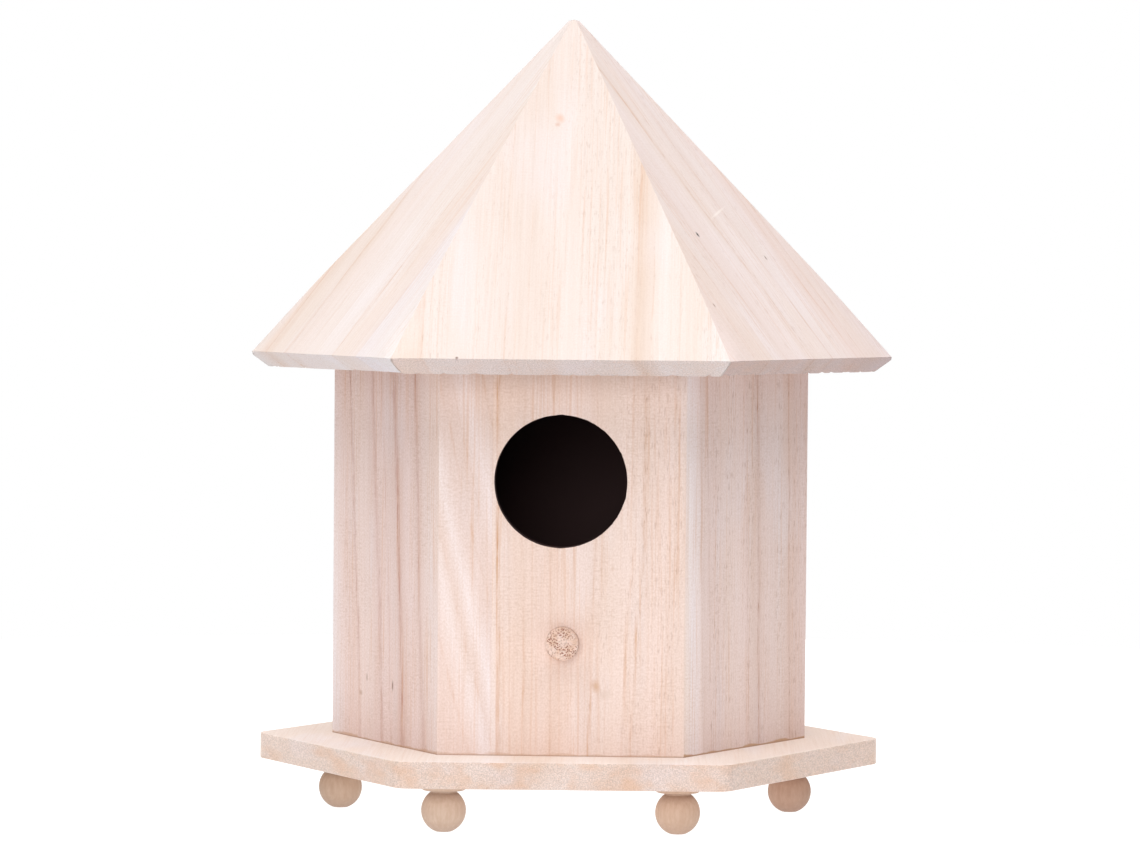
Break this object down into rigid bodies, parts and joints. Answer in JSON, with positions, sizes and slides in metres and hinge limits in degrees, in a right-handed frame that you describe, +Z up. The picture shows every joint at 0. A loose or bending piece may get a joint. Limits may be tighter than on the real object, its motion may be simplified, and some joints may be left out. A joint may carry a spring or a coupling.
{
  "type": "birdhouse",
  "caption": "Hexagonal wooden birdhouse with a mitred pyramid roof, a round entry hole over a short dowel perch, and turned ball feet under a hexagonal board.",
  "frame": {"origin": "on the ground under the middle of the house, in the plane of the feet's flats", "axes": "+Z up; -Y the way the front wall with the entry hole faces; +X to the right when facing that wall"},
  "size_m": [0.1756, 0.154, 0.2168],
  "materials": {
    "raw_board": "raw sanded paulownia board, pale pinkish cream, unfinished",
    "turned_wood": "raw turned hardwood, tan, unfinished",
    "dowel_wood": "raw sawn dowel, end grain showing"
  },
  "bodies": {
    "root": {"base_board": "raw_board", "wall_front": "raw_board", "wall_front_right": "raw_board", "wall_back_right": "raw_board", "wall_back": "raw_board", "wall_back_left": "raw_board", "wall_front_left": "raw_board", "roof_front": "raw_board", "roof_front_right": "raw_board", "roof_back_right": "raw_board", "roof_back": "raw_board", "roof_back_left": "raw_board", "roof_front_left": "raw_board", "perch": "dowel_wood", "foot_right": "turned_wood", "foot_back_right": "turned_wood", "foot_back_left": "turned_wood", "foot_left": "turned_wood", "foot_front_left": "turned_wood", "foot_front_right": "turned_wood"}
  },
  "joints": []
}
